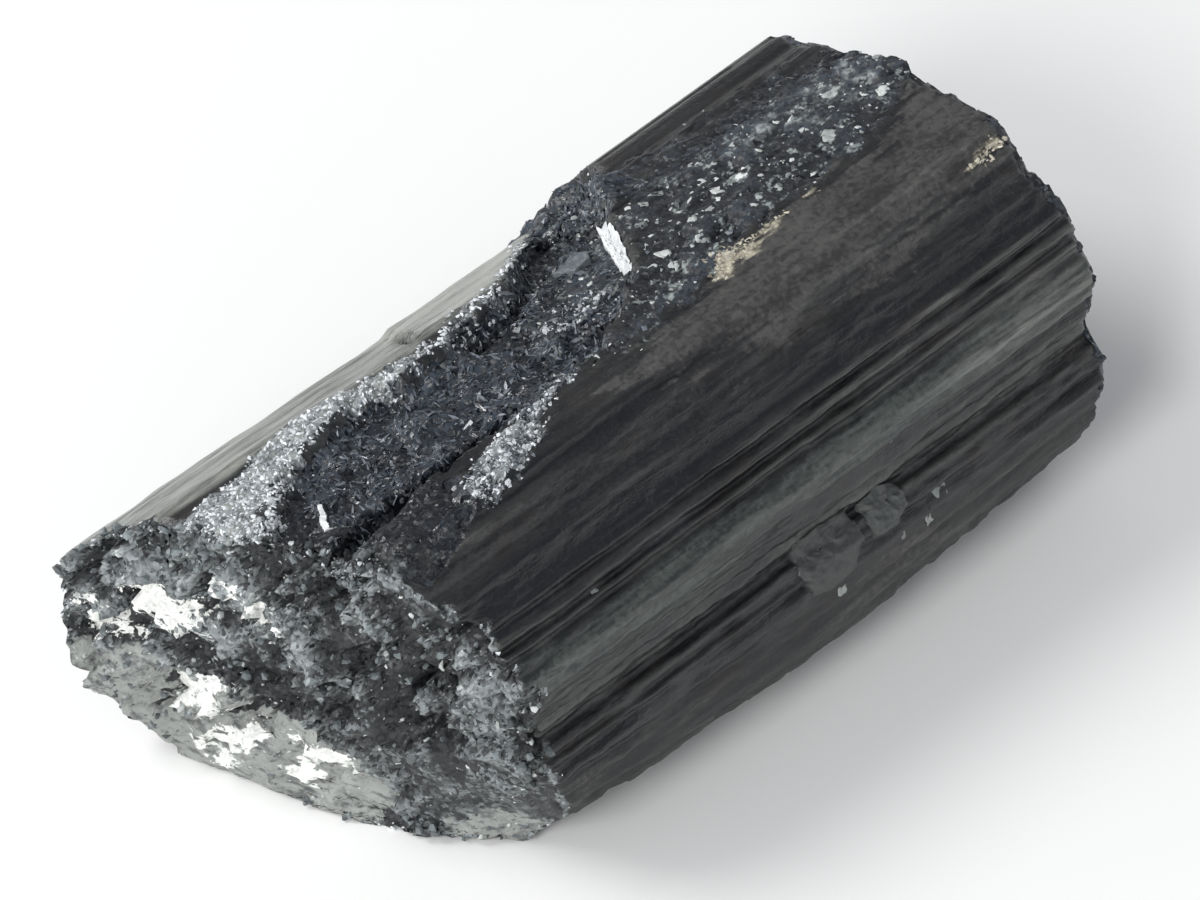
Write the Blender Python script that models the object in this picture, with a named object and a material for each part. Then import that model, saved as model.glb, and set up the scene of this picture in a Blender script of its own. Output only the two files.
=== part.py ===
"""A tourmaline crystal: one broken length of a black, ribbed, three-sided prism, lying on its side.

Metres, +Z up. The prism's long axis runs along X. The origin is under the middle of the
crystal, on the surface that it lies on.
"""

import bmesh
import bpy
import numpy as np
from mathutils import Matrix, Vector, noise

# The prism
LENGTH = 0.0600
GIRTH_CORNERS = (  # (y, z) round the girth, from the upper back edge over the top to the front
    (0.0125, 0.0203), (0.0023, 0.0241), (-0.0061, 0.0254), (-0.0110, 0.0217),
    (-0.0144, 0.0176), (-0.0132, 0.0121), (-0.0148, 0.0111), (-0.0149, 0.0086),
    (-0.0145, 0.0054), (-0.0127, 0.0030), (-0.0106, 0.0000), (0.0089, 0.0000),
    (0.0122, 0.0021), (0.0142, 0.0072), (0.0148, 0.0132), (0.0142, 0.0177),
)
CORNER_ROUNDING = 0.0006
GIRTH_POINTS = 168

# The ribs that run along the sides
RIB_WIDTHS = (0.0012, 0.0034)
RIB_DEPTH_PER_WIDTH = 0.11
REST_FACE = (-0.0103, 0.0084)  # y of the two edges of the flat that the crystal lies on

# The broken ends: how far in the break starts, and how much it leans for each metre of y and z
NEAR_BREAK, NEAR_LEAN = 0.0064, (-0.36, -0.10)
FAR_BREAK, FAR_LEAN = 0.0006, (0.0, 0.0)
NEAR_RELIEF, FAR_RELIEF = 0.0016, 0.0008
FACET = 0.0042
BREAK_CELLS = 30

# The slanted break turns under below a line: its height at y = 0, how it falls with y, and the slope
UNDERCUT_Z, UNDERCUT_FALL, UNDERCUT_SLOPE = 0.0084, 0.33, 0.15

# The bevel worn along the upper back edge, from the slanted end to a step
BEVEL_OUT, BEVEL_DISTANCE = (0.70, 0.714), 0.0214
BEVEL_TO = 0.0106

# The hollow broken out of the top: a trough from the slanted end, which bends to the upper back edge
HOLLOW_FROM, HOLLOW_TO = -0.0320, 0.0140
HOLLOW_MIDDLE_X = (-0.0300, -0.0120, -0.0050, 0.0060)
HOLLOW_MIDDLE_Y = (0.0008, 0.0011, 0.0020, 0.0062)
HOLLOW_HALF_WIDTH, HOLLOW_RISE = 0.0064, 0.0060
HOLLOW_FLOOR_Z, HOLLOW_TILT = 0.0229, -0.30  # floor height at y = 0, and its fall with y
HOLLOW_END, HOLLOW_SKEW, HOLLOW_END_SLOPE = 0.0040, 0.62, 1.6
HOLLOW_RELIEF = 0.0004
HOLLOW_CELLS = (44, 24)

MARGIN = 0.0040  # how far a cutter reaches past the crystal


def smooth_closed(points, width, spacing):
    """Rounds a closed outline by a running mean over about the given width."""
    passes = max(1, round((width / spacing) ** 2))
    for _ in range(passes):
        points = 0.5 * points + 0.25 * (np.roll(points, 1, 0) + np.roll(points, -1, 0))
    return points


def sampled_closed(corners, count):
    """The closed outline through the corners, as evenly spaced points and their girth positions."""
    loop = np.vstack([corners, corners[:1]])
    along = np.concatenate([[0.0], np.cumsum(np.hypot(*np.diff(loop, axis=0).T))])
    girth = np.arange(count) * along[-1] / count
    return np.column_stack([np.interp(girth, along, loop[:, k]) for k in (0, 1)]), girth, along[-1]


def rib_edges(total, rng):
    """Girth positions of the grooves between ribs of seeded random widths, from 0 to total."""
    widths = rng.uniform(*RIB_WIDTHS, size=int(total / RIB_WIDTHS[0]))
    edges = np.concatenate([[0.0], np.cumsum(widths)])
    edges = edges[edges < total - RIB_WIDTHS[0]]
    return np.append(edges, total)


def girth_outline():
    """The ribbed outline of the prism, as (y, z) points with a flat to lie on."""
    rng = np.random.default_rng(7)
    points, girth, total = sampled_closed(np.array(GIRTH_CORNERS), GIRTH_POINTS)
    points = smooth_closed(points, CORNER_ROUNDING, total / GIRTH_POINTS)
    edges = rib_edges(total, rng)
    rib = np.clip(np.searchsorted(edges, girth, side="right") - 1, 0, len(edges) - 2)
    width = edges[rib + 1] - edges[rib]
    across = 2.0 * (girth - edges[rib]) / width - 1.0
    inward = RIB_DEPTH_PER_WIDTH * width * np.abs(across) ** 3
    tangent = np.roll(points, -1, 0) - np.roll(points, 1, 0)
    tangent /= np.hypot(*tangent.T)[:, None]
    normal_in = np.column_stack([-tangent[:, 1], tangent[:, 0]])
    points = points + normal_in * inward[:, None]
    underside = (points[:, 1] < 0.002) & (points[:, 0] > REST_FACE[0]) & (points[:, 0] < REST_FACE[1])
    points[underside, 1] = 0.0
    points[:, 1] = np.maximum(points[:, 1], 0.0)
    within_flat = underside & np.roll(underside, 1) & np.roll(underside, -1)
    return points[~within_flat]


def collection(name):
    group = bpy.data.collections.new(name)
    bpy.context.scene.collection.children.link(group)
    return group


def new_object(name, mesh, group):
    body = bpy.data.objects.new(name, mesh)
    group.objects.link(body)
    return body


def hidden_cutter(name, mesh, group):
    cutter = new_object(name, mesh, group)
    cutter.hide_render = True
    cutter.display_type = "WIRE"
    return cutter


def ribbed_prism(name, group):
    """The whole prism before it broke: the outline as a filled flat curve, extruded along X."""
    outline = girth_outline()
    curve = bpy.data.curves.new(name + "_outline", "CURVE")
    curve.dimensions, curve.fill_mode = "2D", "BOTH"
    curve.extrude = LENGTH / 2 + MARGIN
    spline = curve.splines.new("POLY")
    spline.points.add(len(outline) - 1)
    for point, (y, z) in zip(spline.points, outline):
        point.co = (y, z, 0.0, 1.0)
    spline.use_cyclic_u = True
    drawn = new_object(name + "_outline", curve, group)
    bpy.context.view_layer.update()
    mesh = bpy.data.meshes.new_from_object(
        drawn.evaluated_get(bpy.context.evaluated_depsgraph_get()))
    bpy.data.objects.remove(drawn)
    stand = bmesh.new()
    stand.from_mesh(mesh)
    bmesh.ops.remove_doubles(stand, verts=stand.verts, dist=1e-6)
    to_axes = Matrix(((0, 0, 1, 0), (1, 0, 0, 0), (0, 1, 0, 0), (0, 0, 0, 1)))
    bmesh.ops.transform(stand, matrix=to_axes, verts=stand.verts)
    bmesh.ops.recalc_face_normals(stand, faces=stand.faces)
    stand.to_mesh(mesh)
    stand.free()
    mesh.name = name
    return new_object(name, mesh, group)


class Facets:
    """A brittle break over a flat patch: seeded flat facets that each tilt their own way."""

    def __init__(self, seed, low, high, facet):
        rng = np.random.default_rng(seed)
        low, high = np.array(low), np.array(high)
        count = int((high - low).prod() / facet ** 2)
        self.facet, self.seed = facet, seed
        self.centres = rng.uniform(low, high, (count, 2))
        self.planes = rng.normal(0.0, (0.40, 0.55, 0.55), (count, 3))

    def heights(self, spots):
        """The relief at the spots, from -1 to 1: the nearest facet's plane, and fine waves."""
        away = np.linalg.norm(spots[:, None] - self.centres[None], axis=2)
        nearest = away.argmin(1)
        offset = (spots - self.centres[nearest]) / self.facet
        flat = self.planes[nearest, 0] + (self.planes[nearest, 1:] * offset).sum(1)
        waves = [noise.noise(Vector((*spot * 2.3 / self.facet, self.seed))) for spot in spots]
        return np.clip(flat + 0.35 * np.array(waves), -1.0, 1.0)


def block_over_sheet(name, group, cells, surface, top):
    """A closed cutter: a grid bent to a rough sheet, extruded and flattened at its far side."""
    block = bmesh.new()
    bmesh.ops.create_grid(block, x_segments=cells[0], y_segments=cells[1], size=1.0)
    sheet = list(block.verts)
    grown = bmesh.ops.extrude_face_region(block, geom=list(block.faces), use_keep_orig=True)
    lid = [part for part in grown["geom"] if isinstance(part, bmesh.types.BMVert)]
    for vertices, shape in ((sheet, surface), (lid, top)):
        square = np.array([vertex.co.xy for vertex in vertices])
        for vertex, place in zip(vertices, shape(square)):
            vertex.co = place
    bmesh.ops.recalc_face_normals(block, faces=block.faces)
    if block.calc_volume(signed=True) < 0:
        bmesh.ops.reverse_faces(block, faces=block.faces)
    mesh = bpy.data.meshes.new(name)
    block.to_mesh(mesh)
    block.free()
    return hidden_cutter(name, mesh, group)


def break_cutter(name, group, side, start, lean, relief, undercut, seed):
    """What broke away past one end, side -1 or +1 along X; undercut is the slope below the line."""
    corners = np.array(GIRTH_CORNERS)
    low, high = corners.min(0) - MARGIN, corners.max(0) + MARGIN
    facets = Facets(seed, low, high, FACET)

    def girth_spots(square):
        return low + (square + 1) / 2 * (high - low)

    def surface(square):
        spots = girth_spots(square)
        inset = start + lean[0] * spots[:, 0] + lean[1] * (spots[:, 1] - corners[:, 1].max() / 2)
        below = np.maximum(0.0, UNDERCUT_Z - UNDERCUT_FALL * spots[:, 0] - spots[:, 1])
        inset = inset + undercut * below
        inset = np.maximum(0.0, inset + relief * facets.heights(spots))
        return np.column_stack([side * (LENGTH / 2 - inset), spots])

    def top(square):
        spots = girth_spots(square)
        return np.column_stack([np.full(len(spots), side * (LENGTH / 2 + 3 * MARGIN)), spots])

    return block_over_sheet(name, group, (BREAK_CELLS, BREAK_CELLS), surface, top)


def bevel_cutter(name, group):
    """What wore off the upper back edge: a block with its face on the bevel's plane."""
    out = Vector((0.0, *BEVEL_OUT)).normalized()
    start = -LENGTH / 2 - 2 * MARGIN
    size = (BEVEL_TO - start, 6 * MARGIN, 2 * MARGIN)
    middle = out * (BEVEL_DISTANCE + size[2] / 2) + Vector(((start + BEVEL_TO) / 2, 0.0, 0.0))
    turn = Matrix((Vector((1.0, 0.0, 0.0)), out.cross(Vector((1.0, 0.0, 0.0))), out)).transposed()
    block = bmesh.new()
    bmesh.ops.create_cube(block, size=1.0)
    bmesh.ops.scale(block, vec=size, verts=block.verts)
    bmesh.ops.rotate(block, matrix=turn, verts=block.verts)
    bmesh.ops.translate(block, vec=middle, verts=block.verts)
    mesh = bpy.data.meshes.new(name)
    block.to_mesh(mesh)
    block.free()
    return hidden_cutter(name, mesh, group)


def hollow_cutter(name, group):
    """What broke away over the trough on top: its floor is low in the middle and climbs out all round."""
    low = np.array((HOLLOW_FROM, min(HOLLOW_MIDDLE_Y) - HOLLOW_HALF_WIDTH)) - MARGIN
    high = np.array((HOLLOW_TO, max(HOLLOW_MIDDLE_Y) + HOLLOW_HALF_WIDTH)) + MARGIN
    facets = Facets(5, low, high, FACET / 2)

    def surface(square):
        spots = low + (square + 1) / 2 * (high - low)
        x, y = spots.T
        across = (y - np.interp(x, HOLLOW_MIDDLE_X, HOLLOW_MIDDLE_Y)) / HOLLOW_HALF_WIDTH
        past_end = np.maximum(0.0, x - HOLLOW_END - HOLLOW_SKEW * y)
        climb = HOLLOW_RISE * across ** 4 + HOLLOW_END_SLOPE * past_end
        floor = HOLLOW_FLOOR_Z + HOLLOW_TILT * y
        height = floor + climb + HOLLOW_RELIEF * facets.heights(spots)
        return np.column_stack([spots, np.minimum(height, 2 * HOLLOW_FLOOR_Z - MARGIN)])

    def top(square):
        spots = low + (square + 1) / 2 * (high - low)
        return np.column_stack([spots, np.full(len(spots), 2 * HOLLOW_FLOOR_Z)])

    return block_over_sheet(name, group, HOLLOW_CELLS, surface, top)


def black_tourmaline():
    """Black tourmaline: an opaque stone with a glassy, slightly grey lustre."""
    stone = bpy.data.materials.new("black_tourmaline")
    stone.use_nodes = True
    shader = stone.node_tree.nodes["Principled BSDF"]
    shader.inputs["Base Color"].default_value = (0.030, 0.032, 0.036, 1.0)
    shader.inputs["Roughness"].default_value = 0.42
    shader.inputs["IOR"].default_value = 1.64
    return stone


def cut(body, cutter):
    """Takes the cutter's space out of the body with an exact Boolean."""
    taken = body.modifiers.new(cutter.name, "BOOLEAN")
    taken.operation, taken.solver, taken.object = "DIFFERENCE", "EXACT", cutter


for old in list(bpy.data.objects):
    bpy.data.objects.remove(old)

parts = collection("tourmaline_crystal")
cutters = collection("cutters")

crystal = ribbed_prism("crystal", parts)
crystal.data.materials.append(black_tourmaline())
cut(crystal, bevel_cutter("upper_edge_bevel", cutters))
cut(crystal, break_cutter("near_break", cutters, -1, NEAR_BREAK, NEAR_LEAN, NEAR_RELIEF, UNDERCUT_SLOPE, 1))
cut(crystal, break_cutter("far_break", cutters, +1, FAR_BREAK, FAR_LEAN, FAR_RELIEF, 0.0, 3))
cut(crystal, hollow_cutter("top_hollow", cutters))
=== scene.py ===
import bpy
import numpy as np
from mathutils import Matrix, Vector


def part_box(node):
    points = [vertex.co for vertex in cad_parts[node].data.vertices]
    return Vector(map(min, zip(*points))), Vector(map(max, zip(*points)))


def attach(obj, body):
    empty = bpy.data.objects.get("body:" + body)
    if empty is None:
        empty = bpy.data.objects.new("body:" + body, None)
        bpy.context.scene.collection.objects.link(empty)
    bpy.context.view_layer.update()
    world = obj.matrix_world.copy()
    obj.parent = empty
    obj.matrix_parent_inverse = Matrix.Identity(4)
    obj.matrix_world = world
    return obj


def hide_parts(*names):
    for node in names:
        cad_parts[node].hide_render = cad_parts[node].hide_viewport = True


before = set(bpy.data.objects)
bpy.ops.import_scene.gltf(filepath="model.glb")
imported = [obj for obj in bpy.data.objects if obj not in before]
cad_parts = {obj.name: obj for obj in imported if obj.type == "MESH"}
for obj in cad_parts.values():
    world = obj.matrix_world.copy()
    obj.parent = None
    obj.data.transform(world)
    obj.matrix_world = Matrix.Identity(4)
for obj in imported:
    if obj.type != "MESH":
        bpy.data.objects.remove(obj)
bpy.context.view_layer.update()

# ---------------------------------------------------------------------------------------------
# The crystal: one broken length of black tourmaline, a ribbed three-sided prism that grew in one
# piece. The ribs ran the whole length as it grew; both ends and a hollow on top are brittle breaks.
# ---------------------------------------------------------------------------------------------
MM = 0.001
low, high = (np.array(corner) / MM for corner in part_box("crystal"))

# Places on its sides are given in mm by run, which is x, and girth, which is the way round it from
# the upper back edge over the top to the front. Its outline, as (y, z) in mm in that order:
GIRTH_CORNERS = ((12.5, 20.3), (2.3, 24.1), (-6.1, 25.4), (-11.0, 21.7), (-14.4, 17.6), (-13.2, 12.1),
                 (-14.8, 11.1), (-14.9, 8.6), (-14.5, 5.4), (-12.7, 3.0), (-10.6, 0.0), (8.9, 0.0),
                 (12.2, 2.1), (14.2, 7.2), (14.8, 13.2), (14.2, 17.7))
CORNER_ROUNDING = 0.55  # mm
FRONT_GIRTH = 42.0  # the stretch of girth, from the upper back edge, that gets the finest grid
COLUMNS, STATIONS = 464, 148


def girth_curve(corners, step=0.02):
    """The closed outline through the corners, blurred along its length by a bell curve so that
    each corner is rounded. Returns evenly spaced (y, z) points and the girth position of each."""
    loop = np.vstack([corners, corners[:1]])
    along = np.concatenate([[0.0], np.cumsum(np.hypot(*np.diff(loop, axis=0).T))])
    count = int(along[-1] / step)
    girth = np.arange(count) * along[-1] / count
    points = np.column_stack([np.interp(girth, along, loop[:, k]) for k in (0, 1)])
    wave = np.fft.fftfreq(count, along[-1] / count)
    soften = np.exp(-2.0 * (np.pi * wave * CORNER_ROUNDING) ** 2)[:, None]
    return np.fft.ifft(np.fft.fft(points, axis=0) * soften, axis=0).real, girth, along[-1]


curve, curve_girth, GIRTH = girth_curve(np.array(GIRTH_CORNERS))
curve_tangent = np.roll(curve, -1, 0) - np.roll(curve, 1, 0)
curve_out = np.column_stack([curve_tangent[:, 1], -curve_tangent[:, 0]])
curve_out /= np.hypot(*curve_out.T)[:, None]


def on_girth(girth, values):
    """Reads the closed curve's values at any girth positions."""
    return np.stack([np.interp(girth % GIRTH, curve_girth, values[:, k], period=GIRTH)
                     for k in (0, 1)], axis=-1)


class Lattice:
    """Smooth random fields. Each corner of a unit lattice gets a random direction from a seeded
    table; a point's value blends its eight corners' slopes with the curve 6t^5 - 15t^4 + 10t^3."""

    def __init__(self, seed):
        rng = np.random.default_rng(seed)
        self.order = rng.permutation(256)
        slopes = rng.normal(size=(256, 3))
        self.slopes = slopes / np.linalg.norm(slopes, axis=1)[:, None] * 1.6

    def pick(self, cell):
        """A number from 0 to 255 for each lattice cell, always the same for the same cell."""
        i, j, k = (cell[..., axis] & 255 for axis in range(3))
        return self.order[(self.order[(self.order[i] + j) & 255] + k) & 255]

    def at(self, points):
        """One octave, from about -1 to 1."""
        cell = np.floor(points).astype(int)
        part = points - cell
        ease = part ** 3 * (part * (part * 6 - 15) + 10)
        total = 0.0
        for corner in np.ndindex(2, 2, 2):
            corner = np.array(corner)
            slope = self.slopes[self.pick(cell + corner)]
            share = np.where(corner, ease, 1 - ease).prod(-1)
            total = total + share * ((part - corner) * slope).sum(-1)
        return total

    def rough(self, points, octaves=4, fade=0.5):
        """Octaves added up, each twice as fine and fade times as high as the last."""
        return sum(fade ** n * self.at(points * 2.0 ** n + 17.3 * n) for n in range(octaves))

    def cells(self, points):
        """Jittered centres, one to a unit cell of the first two coordinates: for each point the way
        to its nearest centre, that centre's key, and how much nearer it is than the next one."""
        cell = np.floor(points[..., :2]).astype(int)
        best, second = np.full(points.shape[:-1], 9.0), np.full(points.shape[:-1], 9.0)
        away, key = np.zeros(points[..., :2].shape), np.zeros(points.shape[:-1], int)
        for shift in np.ndindex(3, 3):
            near = cell + np.array(shift) - 1
            near_key = self.pick(np.concatenate([near, np.zeros_like(near[..., :1]) + 7], -1))
            step = points[..., :2] - near - 0.5 - 0.28 * self.slopes[near_key][..., :2]
            distance = np.hypot(step[..., 0], step[..., 1])
            nearer = distance < best
            second = np.where(nearer, best, np.minimum(second, distance))
            best = np.where(nearer, distance, best)
            away, key = np.where(nearer[..., None], step, away), np.where(nearer, near_key, key)
        return away, key, second - best

    def pebbles(self, points):
        """Packed grains, 0 in the gaps to about 1: each cell is a dome of its own height."""
        away, key, gap = self.cells(points)
        return np.minimum(gap * 2.2, 1.0) ** 0.5 * (0.75 + 0.35 * self.slopes[key][..., 2])

    def facets(self, points):
        """Brittle facets in the first two coordinates: jittered centres, one to a unit cell, and
        over each centre's nearest points a flat plane of random height and slope."""
        away, key, _ = self.cells(points)
        fall = (away * self.slopes[(key + 91) % 256][..., :2]).sum(-1)
        return 0.5 * (self.slopes[key][..., 2] + fall)


def smoothstep(start, end, value):
    """0 before start, 1 after end, and 3t^2 - 2t^3 between."""
    t = np.clip((value - start) / (end - start), 0.0, 1.0)
    return t * t * (3 - 2 * t)


def stack(*parts):
    """Coordinates side by side, as one array of points."""
    return np.stack(np.broadcast_arrays(*parts), axis=-1).astype(float)


# The ribs, finer and finer: narrowest and widest in mm, depth for each mm of width, seed, how much of
# it the front loses, and how much more of it the back has
RIB_SETS = ((1.9, 4.2, 0.085, 11, 0.8, 3.2), (0.7, 1.6, 0.060, 12, 0.35, 2.0),
            (0.34, 0.70, 0.075, 13, 0.0, 0.8))


def rib_relief(girth, run, narrow, wide, steep, seed):
    """How far the surface lies inside the outline for one set of ribs. Grooves cut the girth at
    seeded random places; between two grooves the rib is an arch, 1 - |u|^1.6, leaned a little to
    one side; each rib swells and thins along the run, and its grooves wander a little."""
    rng, field = np.random.default_rng(seed), Lattice(seed)
    edges = np.cumsum(rng.uniform(narrow, wide, int(GIRTH / narrow)))
    edges = np.concatenate([[0.0], edges[edges < GIRTH - narrow], [GIRTH]])
    depth = rng.uniform(0.35, 1.0, len(edges))
    lean = rng.uniform(-0.5, 0.5, len(edges))
    wander = 0.10 * narrow * field.at(stack(run / 14.0, girth / (3 * wide), seed))
    girth = (girth + wander) % GIRTH
    rib = np.clip(np.searchsorted(edges, girth, side="right") - 1, 0, len(edges) - 2)
    width = edges[rib + 1] - edges[rib]
    u = 2.0 * (girth - edges[rib]) / width - 1.0
    swell = 0.75 + 0.5 * field.at(stack(run / 18.0, rib * 3.7, seed + 0.5))
    return steep * width * depth[rib] * swell * (np.abs(u) ** 1.6 + lean[rib] * u * (1 - u * u))


# The ribs that stand out on the front: girth, width and height in mm, a groove being a height below
# zero, and for some the run where they begin and end
FRONT_RIBS = ((19.4, 1.2, 0.10), (20.2, 0.8, -0.26), (21.2, 1.2, 0.14), (22.7, 1.5, -0.24),
              (23.7, 0.9, 0.12), (25.1, 1.6, -0.24), (26.0, 0.6, 0.24), (26.45, 0.5, -0.22),
              (27.1, 0.7, 0.30), (27.65, 0.5, -0.24), (28.1, 0.5, 0.24), (28.55, 0.6, -0.28),
              (29.5, 0.6, -0.12), (30.1, 2.2, 0.34), (31.0, 0.7, -0.16), (31.7, 0.6, 0.12),
              (32.5, 1.4, -0.46, 3.0, 40.0), (33.3, 0.7, -0.18), (33.9, 1.3, -0.30, -10.0, 3.0),
              (34.3, 0.9, 0.14), (35.0, 0.7, -0.20), (35.6, 0.9, 0.18), (26.0, 0.5, 0.20, 0.0, 40.0),
              (27.1, 0.6, 0.22, 0.0, 40.0), (28.1, 0.5, 0.20, 0.0, 40.0), (36.7, 0.9, -0.29),
              (37.5, 0.8, 0.20), (38.1, 0.8, -0.30, -30.0, 2.0), (39.0, 0.9, -0.34), (39.8, 0.9, 0.22),
              (40.6, 0.8, -0.26, -24.0, 0.0), (41.3, 0.8, 0.16), (42.1, 0.9, -0.26), (43.0, 1.0, 0.18),
              (44.2, 1.0, -0.26), (45.4, 1.2, 0.18), (46.4, 0.9, -0.20), (47.6, 1.1, -0.20))
FRONT_RIB_SEED = 14
GROOVE_AT, GROOVE_HALF_WIDTH = 32.9, 1.0  # the deepest groove, which starts half way along


def front_relief(girth, run):
    """How far the surface lies outside the outline for the ribs of the front: each is a ridge with
    two flat faces, and it swells, thins and wanders slowly along the run."""
    field, total = Lattice(FRONT_RIB_SEED), 0.0
    for middle, width, tall, *reach in FRONT_RIBS:
        begin, finish = reach or (-99.0, 99.0)
        away = girth - middle + 0.18 * field.at(stack(run / 9.0, middle, 0.2))
        away = away + 0.05 * field.at(stack(run / 2.0, middle, 3.1))
        swell = 0.85 + 0.9 * field.at(stack(run / 8.0, middle, 7.7))
        swell = swell + 0.35 * field.at(stack(run / 2.2, middle, 5.5))
        swell = swell * smoothstep(begin - 3.0, begin + 3.0, run)
        swell = swell * smoothstep(finish + 3.0, finish - 3.0, run)
        total = total + tall * swell * np.maximum(1.0 - np.abs(away) / (0.5 * width), 0.0)
    groove = 0.32 * smoothstep(0.0, 7.0, run) + 0.43 * smoothstep(20.0, 29.0, run)
    return total - groove * np.maximum(1.0 - np.abs(girth - GROOVE_AT) / GROOVE_HALF_WIDTH, 0.0)


# The breaks: how far in from the CAD's end each starts, and the slanted one's lean in y and z
HALF_HEIGHT = high[2] / 2
NEAR_START, NEAR_LEAN = 6.4, (-0.36, -0.10)
UNDERCUT_FROM, UNDERCUT_FALL, UNDERCUT = 8.4, 0.33, 0.15  # height in mm, its fall in y, and the slope
FAR_START = 0.5
# Swellings in them: (y, z) of the middle, spread, and depth in mm
NEAR_HUMPS = (((12.8, 3.0), 3.2, 0.3), ((-12.5, 1.0), 3.5, 1.2), ((14.0, 12.0), 5.0, -0.9),
              ((2.0, 0.0), 8.0, -1.3), ((14.0, 7.0), 3.2, -0.9), ((-5.0, 0.0), 4.0, -0.9))
FAR_HUMPS = (((-13.0, 1.5), 3.5, 1.3), ((3.5, 24.5), 4.0, -0.7))
# Where the slanted break is painted darker as shade, and where lighter as glints: (y, z), spread and how
# much
NEAR_SHADE_AND_GLINTS = (((-4.4, 17.0), 3.8, 0.95), ((7.0, 19.0), 3.5, -0.55), ((-0.6, 16.5), 1.8, -0.12),
              ((-11.3, 14.4), 2.6, -0.30), ((-9.8, 16.4), 1.6, -0.35))
# Cracks in the slanted break, and ridges: (y, z) line, depth below zero for a ridge, and half width
NEAR_LINES = (
    (((10.8, 4.4), (8.6, 4.6), (5.4, 6.4), (3.0, 7.4), (0.2, 7.9), (-2.4, 9.2), (-7.0, 9.9)), 1.1, 0.45),
    (((3.4, 8.6), (0.2, 11.0), (-1.6, 11.9), (-3.4, 12.1), (-5.8, 12.3)), 0.9, 0.35),
    (((-4.4, 21.2), (-5.9, 19.8), (-7.0, 18.4), (-6.7, 16.2), (-5.9, 13.4)), -0.55, 0.5),
    (((-1.6, 12.4), (-2.4, 14.0), (-3.6, 13.8), (-3.0, 12.4)), -0.55, 0.5),
    (((-0.2, 19.4), (-1.3, 17.6), (-1.4, 15.6), (-0.3, 13.6)), -0.55, 0.5))
# Hollows in the slanted break: (y, z) outline and depth in mm
DIPS = (
    (((13.1, 14.5), (11.2, 16.6), (11.4, 13.8), (10.8, 12.4), (12.3, 12.6)), 0.7),
    (((6.6, 18.1), (5.4, 18.4), (4.4, 17.3), (3.5, 15.2), (4.6, 14.0), (6.3, 14.5), (6.9, 16.2)), 1.0),
    (((10.2, 13.1), (8.9, 12.4), (8.3, 11.3), (9.8, 11.0)), 0.7),
    (((8.2, 13.0), (7.1, 13.6), (5.9, 12.4), (5.2, 11.0), (6.5, 9.9), (8.4, 10.5)), 0.5),
    (((3.9, 13.6), (2.2, 14.4), (1.0, 12.6), (0.8, 10.2), (3.0, 9.4), (4.2, 10.8)), 0.6),
    (((-4.7, 19.2), (-6.3, 19.6), (-5.8, 15.2), (-4.5, 13.4), (-3.4, 15.4)), 0.8),
    (((-7.2, 19.5), (-9.6, 20.8), (-10.4, 17.2), (-7.8, 13.7), (-6.9, 16.3)), 0.7),
    (((-7.2, 10.0), (-8.5, 9.9), (-9.5, 8.0), (-8.3, 6.2), (-7.2, 8.0)), 1.2))
near_field, far_field = Lattice(21), Lattice(22)


def hump(y, z, at, wide):
    """A bell over one place, 1 at its middle."""
    return np.exp(-((y - at[0]) ** 2 + (z - at[1]) ** 2) / wide ** 2)


def line_distance(x, y, line):
    """Distance in mm from each point to a bent line: the least of those to its straight parts."""
    nearest = np.full(np.shape(x), 1e9)
    for (ax, ay), (bx, by) in zip(line[:-1], line[1:]):
        t = ((x - ax) * (bx - ax) + (y - ay) * (by - ay)) / ((bx - ax) ** 2 + (by - ay) ** 2)
        t = np.clip(t, 0, 1)
        nearest = np.minimum(nearest, np.hypot(x - ax - t * (bx - ax), y - ay - t * (by - ay)))
    return nearest


def depth_inside(x, y, outline):
    """How far each point lies inside a closed outline, in mm, and less than nothing outside: the
    distance to the nearest edge, with its sign from how many edges a ray towards +x crosses."""
    loop = (*outline, outline[0])
    crossed = np.zeros(np.shape(x), bool)
    for (ax, ay), (bx, by) in zip(loop[:-1], loop[1:]):
        crossed ^= ((ay > y) != (by > y)) & (x < ax + (y - ay) * (bx - ax) / (by - ay + 1e-12))
    nearest = line_distance(x, y, loop)
    return np.where(crossed, nearest, -nearest)


def bent(field, y, z):
    """Points (y, z, 0) pushed about by up to a millimetre, so that no pattern on them runs straight."""
    spot = stack(y, z, 0.0)
    return spot + 0.9 * stack(field.at(spot / 3.0), field.at(spot / 3.0 + 40.0), 0.0)


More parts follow.
